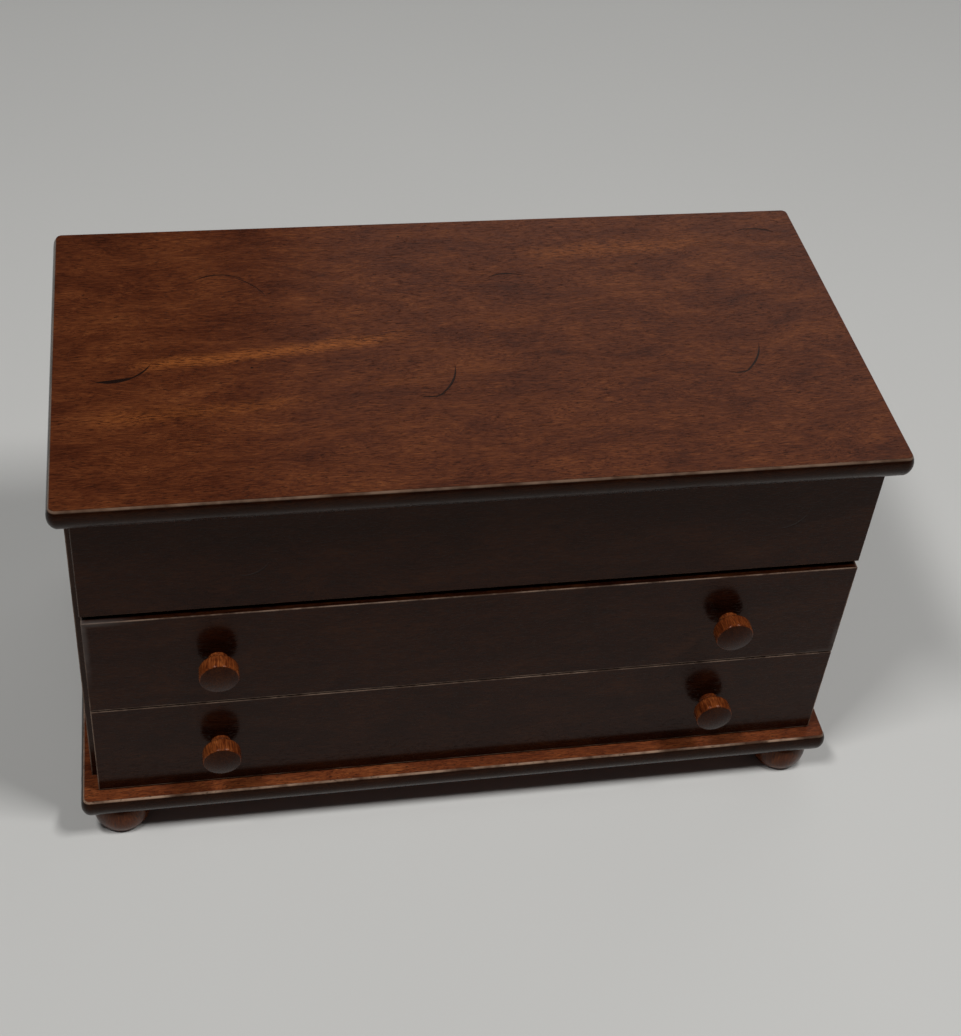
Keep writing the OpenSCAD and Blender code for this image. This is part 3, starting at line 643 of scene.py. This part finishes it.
# ---------------------------------------------------------------- velvet
def velvet_material():
    g = Graph("velvet")
    p = g.coords()
    nap = g.noise(g.vec("SCALE", p, scale=45.0), detail=4.0, rough=0.6, distortion=0.6)
    pile = g.noise(g.vec("SCALE", p, scale=2600.0), detail=2.0, rough=0.7)
    tuft = g.noise(g.vec("SCALE", p, scale=700.0), detail=3.0, rough=0.7)
    fac = g.math("ADD", g.math("MULTIPLY", nap, 0.6), g.math("MULTIPLY", pile, 0.4))
    colour = g.ramp(fac, (0.30, (0.020, 0.012, 0.014)), (0.52, (0.042, 0.027, 0.031)),
                    (0.72, (0.078, 0.054, 0.060)))
    lint = g.step(g.noise(g.vec("SCALE", p, scale=1100.0), detail=0.0), 0.76, 0.80)
    colour = g.mix(g.math("MULTIPLY", lint, 0.25), colour, (0.25, 0.22, 0.21))
    g.set(Base_Color=colour, Roughness=g.linear(tuft, 0.3, 0.7, 0.82, 0.98), Specular_IOR_Level=0.2,
          Normal=g.bump(g.math("ADD", pile, tuft), 0.6, 0.00025))
    g.set(Sheen_Weight=0.9, Sheen_Roughness=0.45, Sheen_Tint=(0.75, 0.66, 0.68, 1.0))
    return g.mat


VELVET = velvet_material()


def noise_at(p, seed):
    """Smooth deterministic value between about -1 and 1."""
    x, y, z = (c / 0.011 for c in p)
    a = math.sin(x * 1.3 + seed) + math.sin(y * 1.7 + 2.1 * seed) + math.sin(z * 1.9 + 0.7 * seed)
    b = math.sin((x + y) * 2.3 + 1.9 * seed) + math.sin((y - z) * 2.9 + seed) + math.sin((x - z) * 3.1)
    return (a + 0.6 * b) / 4.8


def wrapped_board(name, lo, hi, body, nodes, seed, edge=0.9, cell=6.0, dip=0.16):
    """Board covered in velvet: soft arrises, and faces that dip and rise inside the board's box."""
    bm = bmesh.new()
    size = hi - lo
    edge = min(edge * MM, min(size) * 0.45)
    cuts = [max(1, round(s / (cell * MM))) for s in size]

    def grid(axis):
        inner = [edge + (size[axis] - 2 * edge) * i / cuts[axis] for i in range(cuts[axis] + 1)]
        return [0.0, edge * 0.35] + inner + [size[axis] - edge * 0.35, size[axis]]

    ticks = [grid(a) for a in range(3)]
    verts = {}

    def vert(index):
        if index not in verts:
            p = Vector(ticks[a][index[a]] for a in range(3))
            core = Vector(min(max(p[a], edge), size[a] - edge) for a in range(3))
            out = p - core
            if out.length > 0:
                depth = dip * MM * (0.5 + 0.5 * noise_at(lo + p, seed))
                p = core + out.normalized() * (edge - depth * min(1.0, edge / MM))
            verts[index] = bm.verts.new(lo + p)
        return verts[index]

    top = [len(t) - 1 for t in ticks]
    for axis in range(3):
        b, c = (axis + 1) % 3, (axis + 2) % 3
        for level in (0, top[axis]):
            for i in range(top[b]):
                for j in range(top[c]):
                    corners = []
                    for di, dj in ((0, 0), (1, 0), (1, 1), (0, 1)):
                        index = [0, 0, 0]
                        index[axis], index[b], index[c] = level, i + di, j + dj
                        corners.append(vert(tuple(index)))
                    bm.faces.new(corners if level else list(reversed(corners)))
    o = new_object(name, bm, VELVET, body)
    for n in nodes:
        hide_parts(n)
    return o


BOARDS = (
    ("compartment_liner", "case", 1.0),
    ("ring_bay_divider", "case", 2.0),
    ("compartment_long_divider", "case", 3.0),
    ("compartment_cross_divider", "case", 4.0),
    ("upper_drawer_liner", "upper_drawer", 5.0),
    ("lower_drawer_liner", "lower_drawer", 6.0),
)
for n, body, seed in BOARDS:
    lo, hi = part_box(n)
    wrapped_board(n + "_velvet", lo, hi, body, [n], seed, edge=min(hi - lo) / MM * 0.42)

lo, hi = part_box("compartment_wall_lining")
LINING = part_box("compartment_liner")[1].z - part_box("compartment_liner")[0].z
SEAT = 0.1 * MM
walls = (
    ("front", Vector((lo.x, lo.y, lo.z)), Vector((hi.x, lo.y + LINING, hi.z))),
    ("back", Vector((lo.x, hi.y - LINING, lo.z)), Vector((hi.x, hi.y, hi.z))),
    ("left", Vector((lo.x, lo.y + LINING + SEAT, lo.z)),
     Vector((lo.x + LINING, hi.y - LINING - SEAT, hi.z))),
    ("right", Vector((hi.x - LINING, lo.y + LINING + SEAT, lo.z)),
     Vector((hi.x, hi.y - LINING - SEAT, hi.z))),
)
for k, (where, a, b) in enumerate(walls):
    wrapped_board(f"wall_lining_{where}", a, b, "case", ["compartment_wall_lining"], 7.0 + k, edge=0.6)

ROLL_STEPS = 30
ROLL_SIDES = 26
CLOTH_FRAMES = 20


def roll_outline(w, h, inset=0.0):
    """Closed section of a ring roll: a rounded crown on a flatter foot."""
    pts = []
    for i in range(ROLL_SIDES):
        t = 2 * math.pi * i / ROLL_SIDES
        power = 2.0 / 3.4
        x = math.copysign(abs(math.cos(t)) ** power, math.cos(t)) * (w / 2 - inset)
        z = math.copysign(abs(math.sin(t)) ** (2.0 / 2.4), math.sin(t)) * (h / 2 - inset)
        if z < 0:
            z = max(z * 1.35, -(h / 2 - inset))
        pts.append((x, z))
    return pts


def roll_mesh(lo, hi, shrink):
    """Ring roll inside the box from lo to hi, smaller by shrink, with its ends drawn in."""
    bm = bmesh.new()
    w, d, h = hi - lo
    mid = (lo + hi) / 2
    rings = []
    ends = ((0.0, 0.45), (0.0007, 0.20), (0.0022, 0.07), (0.0045, 0.0))
    stations = [(y, k) for y, k in ends]
    stations += [(0.0045 + (d - 0.009) * i / ROLL_STEPS, 0.0) for i in range(1, ROLL_STEPS)]
    stations += [(d - y, k) for y, k in reversed(ends)]
    for y, k in stations:
        outline = roll_outline(w - 2 * shrink, h - 2 * shrink, inset=k * w / 2)
        y = min(max(y, shrink), d - shrink)
        rings.append([Vector((mid.x + x, lo.y + y, mid.z + z)) for x, z in outline])
    skin_rings(bm, rings)
    bmesh.ops.recalc_face_normals(bm, faces=bm.faces)
    return bm


def swell(o, cap, lo, hi, voxel):
    """Fills the roll by cloth pressure, each point within cap of its start and inside the box."""
    remesh = o.modifiers.new("remesh", "REMESH")
    remesh.mode = "VOXEL"
    remesh.voxel_size = voxel
    bake(o)
    start = [v.co.copy() for v in o.data.vertices]
    cloth = o.modifiers.new("cloth", "CLOTH")
    cloth.settings.use_pressure = True
    cloth.settings.uniform_pressure_force = 4.0
    cloth.settings.effector_weights.gravity = 0.0
    cloth.settings.tension_stiffness = 25.0
    cloth.settings.bending_stiffness = 1.5
    cloth.settings.quality = 6
    cloth.point_cache.frame_start, cloth.point_cache.frame_end = 1, CLOTH_FRAMES
    for k in range(1, CLOTH_FRAMES + 1):
        SCENE.frame_set(k)
    bake(o)
    SCENE.frame_set(1)
    for v, s in zip(o.data.vertices, start):
        move = v.co - s
        if move.length > cap:
            move = move * (cap / move.length)
        p = s + move
        v.co = Vector(min(max(p[a], lo[a]), hi[a]) for a in range(3))


def bake(o):
    """Applies every modifier to the object's mesh."""
    bpy.context.view_layer.update()
    evaluated = o.evaluated_get(bpy.context.evaluated_depsgraph_get())
    mesh = bpy.data.meshes.new_from_object(evaluated)
    old = o.data
    o.modifiers.clear()
    o.data = mesh
    bpy.data.meshes.remove(old)


def tube(bm, points, radius, sides=8):
    """Closed loop of cord through the points."""
    count = len(points)
    rings = []
    for i, p in enumerate(points):
        along = (points[(i + 1) % count] - points[i - 1]).normalized()
        a = along.cross(Vector((0, 1, 0))).normalized()
        b = along.cross(a).normalized()
        rings.append([bm.verts.new(p + radius * (math.cos(t) * a + math.sin(t) * b))
                      for t in (2 * math.pi * k / sides for k in range(sides))])
    for i in range(count):
        r, q = rings[i], rings[(i + 1) % count]
        for k in range(sides):
            m = (k + 1) % sides
            bm.faces.new((r[k], r[m], q[m], q[k]))


ROLL_CAP = 1.1 * MM
ROLL_SHRINK = 0.7 * MM
ROLL_VOXEL = 2.6 * MM
WELT_R = 0.45 * MM
WELT_INSET = 2.2 * MM
for k in range(1, 6):
    n = f"ring_roll_{k}"
    lo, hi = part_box(n)
    roll = new_object(n + "_pad", roll_mesh(lo, hi, ROLL_SHRINK), VELVET, "case")
    swell(roll, ROLL_CAP, lo, hi, ROLL_VOXEL)
    for v in roll.data.vertices:
        if v.co.z > (lo.z + hi.z) / 2:
            v.co.z -= 0.25 * MM * (0.5 + 0.5 * noise_at(v.co * 0.7, k))
    for f in roll.data.polygons:
        f.use_smooth = True
    roll.modifiers.new("subdivision", "SUBSURF").render_levels = 1
    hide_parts(n)
    w, d, h = hi - lo
    bm = bmesh.new()
    for y in (lo.y + WELT_INSET, hi.y - WELT_INSET):
        outline = roll_outline(w - 2 * WELT_R, h - 2 * WELT_R, inset=0.035 * w)
        mid_x, mid_z = (lo.x + hi.x) / 2, (lo.z + hi.z) / 2
        tube(bm, [Vector((mid_x + x, y, mid_z + z)) for x, z in outline], WELT_R)
    bmesh.ops.recalc_face_normals(bm, faces=bm.faces)
    new_object(n + "_welt", bm, VELVET, "case")


# ---------------------------------------------------------------- stage and light
def stage_material():
    g = Graph("stage")
    p = g.coords()
    cloud = g.noise(g.vec("SCALE", p, scale=3.0), detail=3.0)
    grain = g.noise(g.vec("SCALE", p, scale=260.0), detail=2.0)
    colour = g.mix(cloud, (0.585, 0.580, 0.560), (0.615, 0.610, 0.590))
    g.set(Base_Color=colour, Roughness=g.linear(grain, 0.3, 0.7, 0.55, 0.7), Specular_IOR_Level=0.25)
    return g.mat


FLOOR_R = 9.0
bm = bmesh.new()
bmesh.ops.create_circle(bm, cap_ends=True, segments=96, radius=FLOOR_R)
floor_mesh = bpy.data.meshes.new("floor")
bm.to_mesh(floor_mesh)
bm.free()
floor = bpy.data.objects.new("floor", floor_mesh)
SCENE.collection.objects.link(floor)
floor.data.materials.append(stage_material())
floor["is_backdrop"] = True


def area_light(name, place, target, size, power, colour=(1.0, 1.0, 1.0), glossy=True):
    data = bpy.data.lights.new(name, "AREA")
    data.shape = "RECTANGLE"
    data.size, data.size_y = size
    data.energy = power
    data.color = colour
    o = bpy.data.objects.new(name, data)
    SCENE.collection.objects.link(o)
    o.location = place
    o.rotation_mode = "QUATERNION"
    o.rotation_quaternion = (Vector(target) - Vector(place)).to_track_quat("-Z", "Y")
    o.visible_camera = False
    o.visible_glossy = glossy
    return o


area_light("ceiling_left", (-0.75, -0.50, 1.9), (0, 0, 0.1), (0.5, 0.18), 18.0)
area_light("ceiling_right", (0.85, -0.50, 1.9), (0, 0, 0.1), (0.5, 0.18), 21.0)
area_light("back_panel_light", (1.4, 2.4, 2.1), (0, 0, 0.2), (2.6, 1.6), 9.0)

world = bpy.data.worlds.new("studio")
SCENE.world = world
world.use_nodes = True
wt = world.node_tree
background = wt.nodes["Background"]
background.inputs["Color"].default_value = (0.90, 0.95, 1.0, 1.0)
background.inputs["Strength"].default_value = 0.04

lo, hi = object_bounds()
